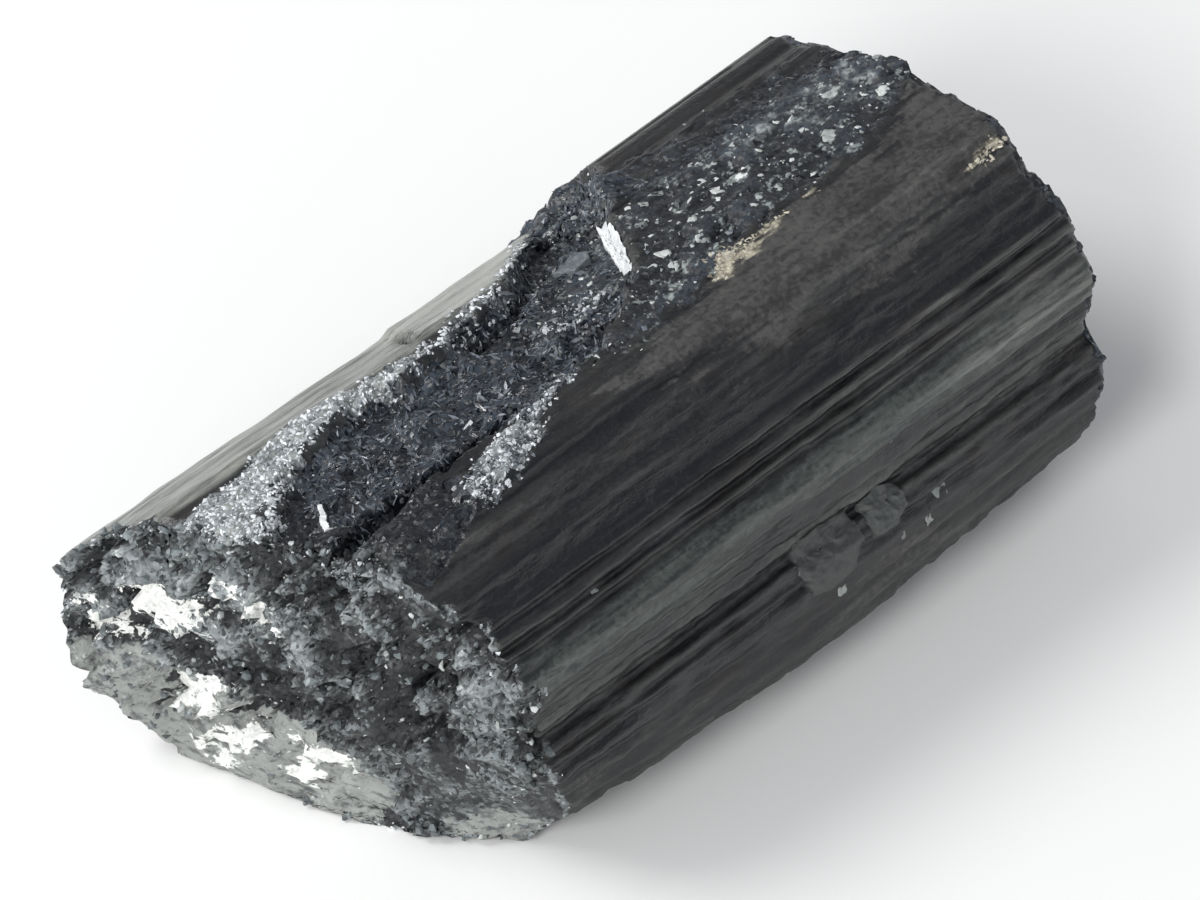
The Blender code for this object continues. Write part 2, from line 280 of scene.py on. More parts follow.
def near_break(y, z):
    """x of the slanted break at (y, z), and how proud the stone stands there, 0 in cracks to 1 on
    crests, made darker in shaded spots and lighter at glints, which the colour paints as shade and
    light: a leaned plane that turns under below a crack, with humps and hollows of its own, facets
    at three sizes, creases where a smooth field crosses zero, and packed crumbs."""
    below = np.maximum(UNDERCUT_FROM - UNDERCUT_FALL * y - z, 0.0)
    inset = NEAR_START + NEAR_LEAN[0] * y + NEAR_LEAN[1] * (z - HALF_HEIGHT) + UNDERCUT * below
    inset += sum(deep * hump(y, z, at, wide) for at, wide, deep in NEAR_HUMPS)
    bend = bent(near_field, y, z)
    calm = 1.0 - 0.6 * smoothstep(0.5, 2.5, below) - 0.5 * hump(y, z, (-9.7, 4.3), 3.0)
    calm = calm * (1.0 - 0.65 * hump(y, z, (-11.3, 14.4), 2.4))
    rim = depth_inside(y, z, GIRTH_CORNERS)
    inset += calm * (0.2 + 0.8 * smoothstep(0.0, 3.0, rim)) * 1.5 * near_field.facets(bend / 5.2)
    calm *= 0.4 + 0.6 * smoothstep(0.0, 1.6, rim)
    fine = 1.3 * near_field.facets(bend / 2.3 + 9.0) + 1.7 * np.abs(near_field.at(bend / 2.4 + 3.0))
    fine += 0.28 * (1 - near_field.pebbles(bend / 0.95)) + 0.16 * near_field.facets(bend / 0.6 + 31.0)
    fine -= 0.4
    bend_y, bend_z = bend[..., 0], bend[..., 1]
    dips = sum(deep * smoothstep(-0.3, 0.7, depth_inside(bend_y, bend_z, dip)) for dip, deep in DIPS)
    for line, deep, wide in NEAR_LINES:
        dips = dips + deep * np.exp(-(line_distance(bend_y, bend_z, line) / wide) ** 2)
    shade_and_glints = 0.35 * smoothstep(1.5, 0.5, rim) * smoothstep(-1.0, -5.0, y) * smoothstep(3.0, 6.0, z)
    shade_and_glints = shade_and_glints + sum(much * hump(y, z, at, wide) for at, wide, much in NEAR_SHADE_AND_GLINTS)
    rise = 0.5 - 0.6 * calm * fine - 0.85 * dips - shade_and_glints
    return low[0] + np.maximum(inset + calm * (fine + dips), 0.02), rise


def far_break(y, z):
    """The same for the square break, which is flatter."""
    inset = FAR_START + sum(deep * hump(y, z, at, wide) for at, wide, deep in FAR_HUMPS)
    bend = bent(far_field, y, z)
    rim = depth_inside(y, z, GIRTH_CORNERS)
    inset += (0.25 + 0.95 * smoothstep(0.0, 3.0, rim)) * far_field.facets(bend / 5.0)
    fine = 0.6 * far_field.facets(bend / 2.1 + 9.0) + 0.7 * np.abs(far_field.at(bend / 2.6 + 3.0)) - 0.2
    fine += 0.22 * (1 - far_field.pebbles(bend / 0.95)) + 0.14 * far_field.facets(bend / 0.7 + 31.0)
    fine *= 0.12 + 0.88 * smoothstep(0.0, 2.0, rim)
    return high[0] - np.maximum(inset + fine, -0.5), 0.5 - 0.8 * fine


# The marks on the sides, as (run, girth) outlines in mm. The break took the top of the near half:
HOLLOW = ((-24.4, 11.0), (-23.0, 10.2), (-20.6, 8.4), (-17.0, 6.8), (-12.8, 5.8), (-9.0, 6.2),
          (-5.6, 6.4), (-2.6, 5.2), (-0.6, 5.5), (0.9, 4.8), (2.6, 3.4), (4.2, 2.2), (5.8, 0.4),
          (8.0, -3.0), (11.0, -4.5), (13.4, -2.0), (12.6, 2.0), (9.7, 5.6), (6.7, 11.0), (3.4, 13.4),
          (-0.2, 15.2), (-2.8, 16.0), (-8.7, 16.0), (-13.7, 15.8), (-17.4, 16.2), (-22.5, 17.4),
          (-23.8, 16.5), (-24.8, 13.6))
# with a glassy trench and a shelf along its front, and the rim that glitters round its back
TRENCH = ((-24.0, 15.9), (-22.0, 15.5), (-19.9, 15.3), (-16.5, 15.1), (-12.2, 15.1), (-7.4, 14.9))
SHELF = ((-25.0, 17.0), (-17.0, 15.6), (-13.6, 16.4), (-14.4, 18.0), (-14.9, 19.6), (-15.8, 20.5),
         (-17.2, 20.9), (-18.8, 21.5), (-21.0, 22.0))
GLITTER = ((-30.5, 7.0), (-28.6, 5.0), (-26.3, 6.0), (-20.8, 5.1), (-18.2, 4.5), (-15.1, 3.7),
           (-12.4, 4.3), (-9.1, 5.1), (-4.7, 5.3), (-2.2, 4.4), (-0.5, 4.6), (1.0, 3.9), (3.0, 2.3),
           (5.0, 0.2), (7.4, -3.2), (8.2, -3.0), (5.8, 0.6), (4.2, 2.5), (2.6, 3.7), (0.9, 5.2),
           (-0.6, 6.0), (-2.6, 5.8), (-5.6, 6.9), (-9.0, 6.5), (-12.8, 5.9), (-17.0, 7.0), (-20.6, 8.7),
           (-23.0, 10.6), (-24.4, 11.6), (-27.0, 10.5))
# a rough patch in front of it, and inside it a darker deep, a plain slope and two glassy panes
ROUGH_PATCH = ((-14.6, 17.6), (-13.0, 16.5), (-9.5, 16.0), (-7.0, 15.7), (-5.7, 15.2), (-3.2, 15.3),
               (-3.6, 15.9), (-6.0, 16.4), (-7.6, 17.4), (-8.8, 18.7), (-11.2, 19.4), (-12.6, 19.9),
               (-13.9, 20.4), (-15.0, 19.6))
SHADE = ((-3.8, 6.6), (-2.0, 5.6), (-0.6, 6.0), (1.0, 5.3), (3.0, 3.9), (5.4, 1.8), (8.0, -1.5),
         (9.6, -0.5), (9.4, 2.8), (7.2, 3.8), (5.0, 4.3), (1.3, 6.1), (-0.8, 6.9), (-2.8, 7.2))
SLOPE = ((-0.3, 6.6), (3.1, 6.6), (5.0, 5.9), (6.8, 6.6), (5.8, 10.0), (5.2, 12.4), (4.4, 10.5),
         (3.4, 8.4), (0.5, 7.6))
GLASSY = (
    ((-21.3, 8.0), (-19.8, 8.4), (-20.0, 9.8), (-21.4, 13.6), (-21.6, 16.0), (-24.5, 16.0),
     (-24.5, 10.0)),
    ((-21.5, 15.8), (-19.0, 14.6), (-17.2, 15.0), (-13.8, 15.2), (-15.8, 17.4), (-18.8, 18.2),
     (-21.0, 19.0)))
# two faces in it painted as they catch the light: a thin one near white and a flat one pale grey
GLINT = ((9.9, 3.4), (9.6, 4.9), (8.4, 7.6), (6.3, 10.9), (6.6, 9.4), (8.2, 6.0))
LIT_PATCH = ((4.8, 4.9), (5.9, 4.4), (7.3, 4.4), (7.6, 5.2), (6.9, 6.2), (5.4, 6.3))
# the pitted top of the far half with its grey middle, the matt band in front of it, clay in its
# striae, and two plates that stand on the front
FAR_TOP = ((12.9, 1.4), (15.2, 2.5), (20.4, 2.6), (25.4, 3.4), (31.0, 5.0), (31.0, 11.0), (25.4, 13.4),
           (22.1, 14.4), (17.0, 14.4), (11.4, 15.2), (7.5, 15.8), (3.3, 16.7), (-0.1, 17.0),
           (-1.6, 15.6), (6.5, 11.6), (9.5, 5.9))
GREY_ZONE = ((17.3, 7.4), (22.4, 5.7), (25.6, 6.0), (28.6, 7.0), (29.6, 9.5), (27.3, 12.7),
             (22.9, 11.9), (17.6, 10.3))
MATTE = ((31.0, 11.5), (31.0, 20.0), (26.3, 21.4), (18.4, 22.0), (9.8, 21.8), (1.8, 21.0), (-2.1, 20.0),
         (1.5, 17.2), (10.9, 15.6), (16.5, 15.0), (22.3, 15.0))
CRUSTS = (
    ((7.4, 16.4), (8.6, 15.4), (9.0, 14.8), (10.6, 14.5), (11.4, 14.9), (13.0, 14.6), (15.8, 14.9),
     (15.2, 15.5), (12.6, 15.8), (11.6, 16.4), (9.8, 16.3), (9.0, 17.0)),
    ((25.0, 20.5), (26.4, 20.1), (27.6, 19.6), (29.8, 19.7), (29.4, 20.5), (27.4, 20.8), (25.6, 21.0)),
    ((17.0, 14.9), (18.2, 14.6), (18.6, 15.0), (17.4, 15.3)))
PLATES = (
    ((4.0, 35.6), (5.7, 35.4), (8.4, 35.6), (9.0, 37.4), (8.7, 39.0), (7.6, 40.1), (5.8, 40.4),
     (4.2, 40.1), (3.6, 38.0)),
    ((9.5, 36.4), (11.2, 36.0), (12.7, 36.8), (12.6, 38.4), (11.7, 39.4), (9.6, 39.2)))
# and the marks on the slanted break, as (y, z) outlines: two faces painted pale, and patches
# painted white, as the glare off flat facets there
PALE_FACE = ((14.4, 9.0), (11.1, 10.1), (8.8, 10.4), (7.3, 9.6), (5.5, 9.3), (3.4, 8.4), (0.6, 7.4),
             (-2.6, 6.2), (-4.6, 4.8), (-4.8, 2.6), (-3.4, 0.6), (-2.0, -1.0), (8.1, -1.0), (12.5, 2.0),
             (14.4, 6.0))
FACET = ((-7.4, 1.8), (-9.1, 3.3), (-10.8, 3.6), (-13.0, 2.8), (-12.0, -1.0), (-7.5, -1.0))
WHITE_GLARE = (
    ((10.3, 16.5), (9.0, 17.2), (8.6, 15.7), (7.4, 15.4), (6.6, 15.5), (5.6, 13.1), (6.8, 13.1),
     (8.6, 13.6), (10.1, 13.4), (11.5, 13.8), (11.0, 15.2)),
    ((12.1, 11.4), (10.7, 12.3), (9.4, 11.2), (10.9, 10.9)),
    ((13.2, 12.0), (12.0, 12.7), (12.2, 10.1), (13.4, 9.8)),
    ((14.0, 13.2), (12.7, 13.4), (12.5, 12.9), (13.8, 12.4)),
    ((4.7, 19.3), (3.9, 19.3), (2.5, 18.6), (0.4, 16.1), (1.6, 15.5), (3.0, 15.9)),
    ((8.7, 8.2), (7.4, 9.1), (6.2, 9.3), (4.8, 9.0), (4.5, 7.5), (5.6, 6.6), (7.9, 6.6)),
    ((7.1, 3.6), (5.8, 4.1), (4.8, 5.3), (3.8, 5.7), (2.9, 5.0), (3.3, 4.0), (5.2, 3.0), (3.9, 3.4),
     (5.4, 2.2), (6.9, 2.1)),
    ((8.3, 2.5), (7.1, 3.0), (6.7, 1.9), (7.6, 1.4)),
    ((7.5, 1.1), (6.2, 1.7), (4.6, 1.6), (6.0, 0.4)),
    ((1.7, 5.5), (0.2, 5.9), (-1.6, 6.0), (-3.0, 5.6), (-3.4, 4.8), (-1.5, 4.3), (0.4, 4.4)),
    ((2.0, 3.1), (1.2, 3.6), (0.4, 3.5), (-0.3, 2.8), (0.5, 1.9), (1.4, 1.9)))

# The grid over the sides: columns crowd on the front and top, and stations towards the breaks
density = np.where(curve_girth < FRONT_GIRTH, 2.0, 1.0)
share = np.concatenate([[0.0], np.cumsum(density)]) / density.sum()
column = np.interp(np.arange(COLUMNS) / COLUMNS, share, np.append(curve_girth, GIRTH))
from_end = np.minimum(np.arange(STATIONS - 1), np.arange(STATIONS - 1)[::-1])
spacing = 0.45 - 0.2 * np.exp(-from_end / 8.0)
station = np.concatenate([[0.0], np.cumsum(spacing)]) / spacing.sum()

girth, fraction = np.meshgrid(column, station)
base = on_girth(girth, curve)
outward = on_girth(girth, curve_out)
outward /= np.linalg.norm(outward, axis=-1)[..., None]
near_x = near_break(base[..., 0], base[..., 1])[0]
far_x = far_break(base[..., 0], base[..., 1])[0]
run = near_x + fraction * (far_x - near_x)
wide_girth = np.where(girth > 0.9 * GIRTH, girth - GIRTH, girth)  # runs on below 0 past the back edge

# A field is read at places divided by the size of its lumps in mm; a number added reads a fresh part
spot = stack(run, wide_girth, 0.0)
grain = Lattice(31)

front = smoothstep(17.5, 20.0, girth) * smoothstep(50.0, 47.0, girth)
back = smoothstep(52.0, 58.0, girth) * smoothstep(92.0, 88.0, girth)
raised = front_relief(girth, run)
ribs = sum(rib_relief(girth, run, *rib_set) * (1.0 - less * front + more * back)
           for *rib_set, less, more in RIB_SETS) - raised
BELLY_AT, BELLY_WIDTH, BELLY = 47.0, 6.0, 1.05  # girth, spread and height of the bulge in mm
belly = BELLY * np.exp(-((girth - BELLY_AT) / BELLY_WIDTH) ** 2) * np.sin(np.pi * fraction)


def zone(outline, start, end, ragged=0.0):
    """0 outside a (run, girth) outline and 1 inside: an eased step from start to end, in mm, over
    the depth inside it plus a ragged field."""
    return smoothstep(start, end, depth_inside(run, wide_girth, outline) + ragged)


glint_zone = zone(GLINT, -0.9, -0.1)
jag = (0.45 * grain.facets(spot / 1.3) + 0.25 * grain.rough(spot / 0.7, 2)) * (1 - 0.9 * glint_zone)
hollow = zone(HOLLOW, 0.0, 0.9, jag)
trench_wide = 0.34 + 0.5 * smoothstep(-16.0, -19.0, run)
trench = np.exp(-(line_distance(run, wide_girth, TRENCH) / trench_wide) ** 4)
trench = trench * smoothstep(-24.6, -23.0, run)
shelf = zone(SHELF, -0.1, 0.5, 0.4 * jag)
shade = zone(SHADE, -0.2, 0.6, 0.4 * jag)
slope = zone(SLOPE, -0.2, 0.6, 0.4 * jag)
patch = zone(ROUGH_PATCH, -0.1, 0.5, jag)
glitter = zone(GLITTER, -0.3, 0.4, 0.7 * jag) * (1.0 - 0.55 * smoothstep(-11.0, -5.0, run))
glassy = sum(zone(pane, -0.2, 0.3, 0.5 * jag) for pane in GLASSY).clip(0, 1)
lit_patch = zone(LIT_PATCH, -0.2, 0.3, 0.3 * jag)
far_top = zone(FAR_TOP, -0.6, 0.9, 1.6 * jag) * (0.45 + 0.4 * smoothstep(4.0, 8.0, wide_girth + jag))
grey_zone = zone(GREY_ZONE, -0.5, 1.2, jag)
streaky = grain.rough(stack(run / 7.0, wide_girth / 0.8, 70.0), 3)
matte = zone(MATTE, -1.8, 1.8, 1.2 * jag + 2.4 * streaky)
plates = sum(zone(plate, 0.0, 0.3, 0.3 * jag) for plate in PLATES)
moat = sum(np.exp(-(depth_inside(run, wide_girth, plate) / 0.35) ** 2) for plate in PLATES)
from_near = run - near_x + 1.2 * jag + 0.5 * smoothstep(18.0, 24.0, wide_girth)
near_rim = smoothstep(1.05, 0.55, from_near)
far_rim = smoothstep(0.6, 0.25, far_x - run + 0.7 * jag)
LEDGE_AT = 10.6  # run of the step at the hollow's far end
ledge = smoothstep(2.6, 1.4, np.abs(run - LEDGE_AT + jag)) * smoothstep(-7.5, -5.5, wide_girth)
ledge = ledge * (wide_girth < 5)
broken = hollow + patch + shelf + glitter + far_top + ledge + near_rim + far_rim
broken = np.clip(broken, 0.0, 1.0)

# How far the surface lies inside the outline, in mm: ribs where it isn't broken, dents along the
# lower front edge, fine roughness where it is matt, and each mark's depth with crumbs
HOLLOW_DEPTH = (1.3, 1.7)  # at its near end and at its far end
SHADE_DEPTH, TRENCH_DEPTH, MOAT_DEPTH, PATCH_DEPTH = 0.9, 1.5, 0.12, 0.25
FAR_TOP_DEPTH, SHELF_DEPTH, RIM_DEPTH, DENT_DEPTH = 0.12, 0.35, 0.3, 1.1
crumbs = (0.40 * grain.facets(spot / 2.1 + 5.0) + 0.16 * grain.facets(spot / 0.9 + 50.0)
          - 0.16 * grain.pebbles(spot / 0.75) + 0.10 * grain.rough(spot / 0.5, 2))
crumbs *= (1 - 0.85 * glint_zone) * (1 - 0.5 * glassy) * (1 - 0.5 * shade) * (1 - 0.7 * slope)
inside = ribs * (1.0 - 0.8 * broken) * (1.0 - plates) - belly
dented = smoothstep(43.0, 46.0, girth) * smoothstep(56.0, 51.0, girth)
dented = dented * smoothstep(0.0, 0.9, grain.rough(stack(run / 6.0, wide_girth / 3.5, 120.0), 4, 0.45))
inside += DENT_DEPTH * dented
fine = grain.rough(stack(run / 1.6, wide_girth / 0.7, 90.0), 3)
inside += 0.10 * (front + matte * (1 - broken)) * fine
bowl = HOLLOW_DEPTH[0] + (HOLLOW_DEPTH[1] - HOLLOW_DEPTH[0]) * smoothstep(-25.0, 8.0, run)
bowl = bowl * (1.0 - 0.6 * smoothstep(12.0, 16.0, wide_girth) * smoothstep(2.0, -4.0, run))
inside += hollow * (bowl + crumbs + SHADE_DEPTH * shade)
inside += TRENCH_DEPTH * trench + MOAT_DEPTH * moat + 0.7 * glitter * crumbs + 0.6 * ledge * crumbs
inside += patch * (PATCH_DEPTH + crumbs) * (1 - hollow)
inside += far_top * (FAR_TOP_DEPTH + 0.8 * crumbs) * (1 - hollow)
inside += shelf * (SHELF_DEPTH + 0.8 * crumbs) * (1 - hollow) * (1 - patch)
inside += (near_rim + far_rim) * (RIM_DEPTH + 0.35 * grain.facets(spot / 1.9 + 70.0))
side_yz = base - outward * inside[..., None]

# The bevel that wear and the break left along the upper back edge, and a small notch across it
BEVEL_WAY = np.array((0.70, 0.714))
BEVEL_AT = (21.75, 21.2, 23.6)  # mm from the axis: at the near end, beside the hollow, and past it
NOTCH_DEPTH, NOTCH_HALF_WIDTH = 0.6, 0.28
bevel_at = BEVEL_AT[0] + (BEVEL_AT[1] - BEVEL_AT[0]) * smoothstep(-25.0, 2.0, run)
bevel_at += (BEVEL_AT[2] - BEVEL_AT[1]) * smoothstep(8.8, 13.4, run + 0.9 * jag)
from_notch = run + 4.2 + 0.35 * wide_girth
bevel_at += 0.25 * smoothstep(-0.3, 0.3, from_notch)
bevel_at += 0.10 * grain.rough(stack(run / 4.0, wide_girth / 3.0, 77.0), 2)
over = (side_yz * BEVEL_WAY).sum(-1) - (bevel_at - 0.6 * ribs)
side_yz = side_yz - BEVEL_WAY * np.maximum(over, 0.0)[..., None]
notch = np.exp(-(from_notch / NOTCH_HALF_WIDTH) ** 2 - ((wide_girth - 1.8) / 2.4) ** 4)
side_yz = side_yz - outward * (NOTCH_DEPTH * notch)[..., None]
side = np.concatenate([run[..., None], side_yz], axis=-1)


def cap(ring, surface):
    """A square grid stretched over a closed ring of 4n points: each inside point is the sum of the
    two blends between opposite edges, less the blend of the corners. x follows the break."""
    n = len(ring) // 4
    south, east = ring[:n + 1], ring[n:2 * n + 1]
    north, west = ring[2 * n:3 * n + 1][::-1], np.vstack([ring[3 * n:], ring[:1]])[::-1]
    u = np.linspace(0, 1, n + 1)[:, None, None]
    v = np.linspace(0, 1, n + 1)[None, :, None]
    grid = ((1 - v) * south[:, None] + v * north[:, None] + (1 - u) * west[None] + u * east[None]
            - (1 - u) * (1 - v) * south[0] - u * (1 - v) * south[-1]
            - (1 - u) * v * north[0] - u * v * north[-1])
    inner = grid[1:-1, 1:-1]
    inner[..., 0], rise = surface(inner[..., 1], inner[..., 2])
    return inner, rise


def cap_faces(ring_index, first):
    """Vertex numbers of the cap's quads: its rim is the ring, and its inside starts at first."""
    n = len(ring_index) // 4
    table = np.empty((n + 1, n + 1), int)
    table[1:-1, 1:-1] = first + np.arange((n - 1) ** 2).reshape(n - 1, n - 1)
    table[:, 0] = ring_index[:n + 1]
    table[-1, :] = ring_index[n:2 * n + 1]
    table[:, -1] = ring_index[2 * n:3 * n + 1][::-1]
    table[0, :] = np.append(ring_index[3 * n:], ring_index[0])[::-1]
    corners = table[:-1, :-1], table[1:, :-1], table[1:, 1:], table[:-1, 1:]
    return np.stack(corners, -1).reshape(-1, 4)


near_cap, near_rise = cap(side[0], near_break)
far_cap, far_rise = cap(side[-1], far_break)
near_y, near_z = near_cap[..., 1], near_cap[..., 2]

index = np.arange(STATIONS * COLUMNS).reshape(STATIONS, COLUMNS)
right = np.roll(index, -1, 1)
side_faces = np.stack([index[:-1], right[:-1], right[1:], index[1:]], -1).reshape(-1, 4)
near_faces = cap_faces(index[0], index.size)[:, ::-1]
far_faces = cap_faces(index[-1], index.size + near_rise.size)

points = np.vstack([side.reshape(-1, 3), near_cap.reshape(-1, 3), far_cap.reshape(-1, 3)])
points[:, 2] = np.maximum(points[:, 2], 0.0)
faces = np.vstack([side_faces, near_faces, far_faces])


def whole(side_values, near_values=0.0, far_values=0.0):
    """One value for each point of the crystal, from those over its sides and its two breaks."""
    parts = (side_values, run), (near_values, near_rise), (far_values, far_rise)
    return np.concatenate([np.broadcast_to(values, like.shape).ravel() for values, like in parts])


def break_mask(*outlines):
    """0.5 on the edge of (y, z) outlines and 0 or 1 from a millimetre away, over the slanted break
    and the rim beside it."""
    near, beside = (np.max([depth_inside(y, z, outline) for outline in outlines], axis=0)
                    for y, z in ((near_y, near_z), (base[..., 0], base[..., 1])))
    beside = np.where(near_rim > 0.35, np.clip(0.5 + 0.5 * beside, 0, 1), 0.0)
    return whole(beside, np.clip(0.5 + 0.5 * near, 0, 1))


# What the material is told of each place, from 0 to 1 or so. First the bands on the front painted
# almost black as shade: girth, half width in mm, and how dark along the run; and a greenish one
SHADE_BANDS = (
    (24.6, 1.0, 1.0), (25.9, 0.7, smoothstep(4.0, -2.0, run)), (32.7, 1.0, smoothstep(-1.0, 6.0, run)),
    (34.6, 0.5, smoothstep(-5.0, 0.0, run) * smoothstep(8.0, 4.0, run)),
    (20.1, 0.6, smoothstep(8.0, 2.0, run)), (39.6, 1.1, 0.7 + 0.3 * smoothstep(4.0, -2.0, run)))
swayed = girth + 0.5 * grain.at(stack(run / 6.0, girth / 9.0, 90.0))
band_shade = [dark * smoothstep(half_wide + 0.35, half_wide - 0.35, np.abs(swayed - middle))
         for middle, half_wide, dark in SHADE_BANDS]
band_shade = np.max(band_shade, axis=0) * (1 - plates)
# The greenish band: its tint is its own, its lightness painted reflection
greenish_sheen = (0.9 - 0.4 * smoothstep(31.5, 34.0, girth)) * smoothstep(28.4, 29.4, girth)
greenish_sheen = greenish_sheen * smoothstep(36.8, 35.8, girth)

# Pale specks, the clay, and how crumbly the broken places are
far_crumbs = far_top * (1 - hollow) * smoothstep(4.0, 8.0, girth)
specks = np.maximum(far_crumbs, 0.5 * hollow * smoothstep(-4.0, 5.0, run))
clay_depth = np.max([depth_inside(run, wide_girth, outline) for outline in CRUSTS], axis=0)
crust = np.clip(0.5 + 0.5 * clay_depth + 0.2 * jag, 0, 1)
shelf_rubble = 0.5 * shelf * smoothstep(-17.5, -20.0, run)
rubble = [near_rim, 0.9 * glitter, 0.75 * patch, 0.55 * grey_zone * broken, shelf_rubble]

# How deep a place lies, painted darker there as shade, with the glittering rim and the hollow's
# clumps painted lighter, and where the grains clump
clumps = smoothstep(-0.35, 0.45, grain.rough(spot / 2.2 + 60.0, 3))
deep = 0.6 * glassy + 0.9 * trench + 0.7 * shade + 0.35 * shelf + 0.3 * far_top * (1 - grey_zone)
deep = deep - 0.5 * hollow * (clumps - 0.45) - 0.3 * glitter

# Matt and dull places; a pale film along the bevel, partly dust and partly painted sheen, lighter past
# the notch as painted light; and painted highlights on the crests of the front's ribs and on the lit
# patch
low_front = 0.22 * smoothstep(38.0, 40.0, wide_girth) * smoothstep(52.0, 49.0, wide_girth)
matt_all = np.maximum(matte, low_front) * (1 - broken) - 0.5 * band_shade
dull = [(far_top > 0.2) * (wide_girth > 6.5), matte * 0.6,
        smoothstep(37.0, 40.0, girth) * (girth < 52) * (1 - band_shade)]

dust_and_sheen = smoothstep(0.0, 0.3, over + 0.5) * (1 - broken) * (1.0 + 0.15 * smoothstep(-6.0, -3.0, run))
# Painted highlights along the ridges near the far end, and on the crests of the ribs that stand out
crest_highlight = 0.30 * smoothstep(14.0, 26.0, run) * smoothstep(27.0, 29.5, girth) * smoothstep(33.5, 31.5, girth)
crest_highlight_amount = (0.10 + 0.22 * smoothstep(-6.0, 20.0, run)) * (1 - plates) * (1 - band_shade)
crest_highlight = crest_highlight + front * np.clip(raised / 0.30, 0, 1) * crest_highlight_amount
dust_sheen_and_highlights = np.maximum(dust_and_sheen * (1 - notch) + crest_highlight, 0.9 * lit_patch)

# Pale and white places, which the cracks cut through: painted glare on the slanted break's flat
# faces, and painted sparkle on the glittering rim and the rough patch
seam = whole(1.0, smoothstep(-0.30, 0.10, near_rise), 1.0)
rim_sparkle_paint = 0.5 * glitter * (1 - shade) + 0.15 * patch
white_glare = break_mask(*WHITE_GLARE)
# "rise" is 0 in the deep and 1 on crests, which paints shade in the deep and light on crests; the
# green mask paints the greenish band lighter as reflection and goes below 0 in the bands painted black
# as shade
masks = {
    "broken": whole(broken, 1.0, 1.0),
    "rubble": whole(np.max(rubble, axis=0), 1.0, 0.6),
    "rise": np.clip(whole(0.6 - 0.9 * crumbs - deep, near_rise, far_rise), 0, 1),
    "specks": whole(specks, 0.0, 0.3),
    "green_sheen_and_shade": whole(greenish_sheen * (girth < 50) * (1 - band_shade) - band_shade),
    "matte": whole(matt_all),
    "dull": whole(np.max(dull, axis=0)),
    "dust_and_sheen": whole(dust_sheen_and_highlights),
    "cream": whole(crust),
    "pale": np.maximum(seam * break_mask(PALE_FACE, FACET), whole(rim_sparkle_paint)),
    "white": white_glare}


def new_piece(name, points_mm, faces, material, smooth=True):
    """A mesh from points in mm and the vertex numbers of its faces, smooth or flat shaded."""
    mesh = bpy.data.meshes.new(name)
    mesh.from_pydata(points_mm * MM, [], faces)
    mesh.polygons.foreach_set("use_smooth", np.full(len(faces), smooth))
    mesh.materials.append(material)
    piece = bpy.data.objects.new(name, mesh)
    bpy.context.scene.collection.objects.link(piece)
    return piece


def paint(piece, name, values):
    """Stores one number for each point of a piece, for its material to read."""
    layer = piece.data.attributes.new(name, "FLOAT", "POINT")
    layer.data.foreach_set("value", values.astype(np.float32))


def linear(hexcode):
    """sRGB hex to linear red, green, blue and alpha."""
    value = np.array([int(hexcode[i:i + 2], 16) for i in (1, 3, 5)]) / 255
    value = np.where(value <= 0.04045, value / 12.92, ((value + 0.055) / 1.055) ** 2.4)
    return (*value, 1.0)


def node(tree, kind, *values, pick=None, **settings):
    """Adds one shader node and gives back an output, the first or the one picked by name. Its
    settings are set first; the values then fill its open inputs in order, each a number, a vector,
    a hex colour or another node's output, or None to leave that input alone."""
    made = tree.nodes.new("ShaderNode" + kind)
    for name, value in settings.items():
        setattr(made, name, value)
    for socket, value in zip([socket for socket in made.inputs if socket.enabled], values):
        if isinstance(value, bpy.types.NodeSocket):
            tree.links.new(value, socket)
        elif value is not None:
            socket.default_value = linear(value) if isinstance(value, str) else value
    return made.outputs[pick] if pick else next(socket for socket in made.outputs if socket.enabled)


def weigh(tree, start, *parts):
    """The start plus each pattern times its weight."""
    total = start
    for pattern, weight in parts:
        total = node(tree, "Math", pattern, weight, total, operation="MULTIPLY_ADD")
    return total


def patchy(tree, start, end, first, *parts):
    """0 where the first pattern and the weighted parts add up to start, 1 at end, eased between."""
    total = weigh(tree, first, *parts)
    return node(tree, "MapRange", total, start, end, interpolation_type="SMOOTHSTEP")


def two_tone(tree, dark, light, start, end, first, *parts):
    """A colour that goes from dark to light as that sum goes from start to end."""
    return node(tree, "Mix", patchy(tree, start, end, first, *parts), dark, light, data_type="RGBA")


def cloud(tree, place, wide_mm, detail=4.0, rough=0.6, along=1.0, across=1.0):
    """Noise with lumps of a given width in mm, drawn out along the crystal or across it."""
    scaled = node(tree, "Mapping", place, None, None, (1 / along, 1 / across, 1.0))
    return node(tree, "TexNoise", scaled, 1 / (wide_mm * MM), detail, rough)


GRAINS_PER_MM = 3.8  # coarser than the real sugary grain, so that it shows


